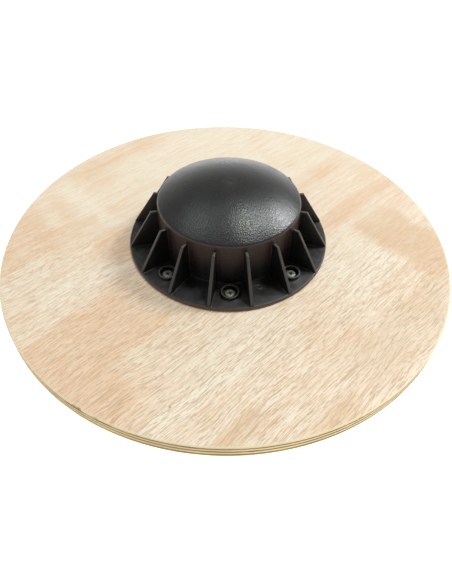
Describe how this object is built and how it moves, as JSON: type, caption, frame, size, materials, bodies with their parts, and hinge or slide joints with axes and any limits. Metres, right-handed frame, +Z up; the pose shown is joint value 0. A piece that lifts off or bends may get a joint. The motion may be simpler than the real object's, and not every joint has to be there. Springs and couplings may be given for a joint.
{
  "type": "balance board",
  "caption": "Round plywood wobble board with a ribbed, domed plastic rocker foot screwed to its underside, lying on its standing face with the foot up.",
  "frame": {"origin": "centre of the board's standing face, which is the bottom of the object as stored", "axes": "+Z up through the top of the dome, -Y through the first screw, +X to the right of it"},
  "size_m": [0.4, 0.4, 0.074],
  "materials": {
    "face_veneer": "pale open-pored veneer with a thin satin lacquer",
    "long_grain_ply": "sanded ply edge, grain along the edge",
    "cross_grain_ply": "sanded ply edge, end grain",
    "black_plastic": "moulded black plastic, fine pebble grain on the dome, smooth satin walls",
    "zinc_screw": "zinc-plated steel"
  },
  "bodies": {
    "root": {"standing_face_veneer": "face_veneer", "cross_ply_lower": "cross_grain_ply", "long_ply_lower": "long_grain_ply", "cross_ply_middle": "cross_grain_ply", "long_ply_upper": "long_grain_ply", "cross_ply_upper": "cross_grain_ply", "foot_side_veneer": "face_veneer", "rocker_foot": "black_plastic", "screw_1": "zinc_screw", "screw_2": "zinc_screw", "screw_3": "zinc_screw", "screw_4": "zinc_screw", "screw_5": "zinc_screw", "screw_6": "zinc_screw", "screw_7": "zinc_screw", "screw_8": "zinc_screw"}
  },
  "joints": []
}
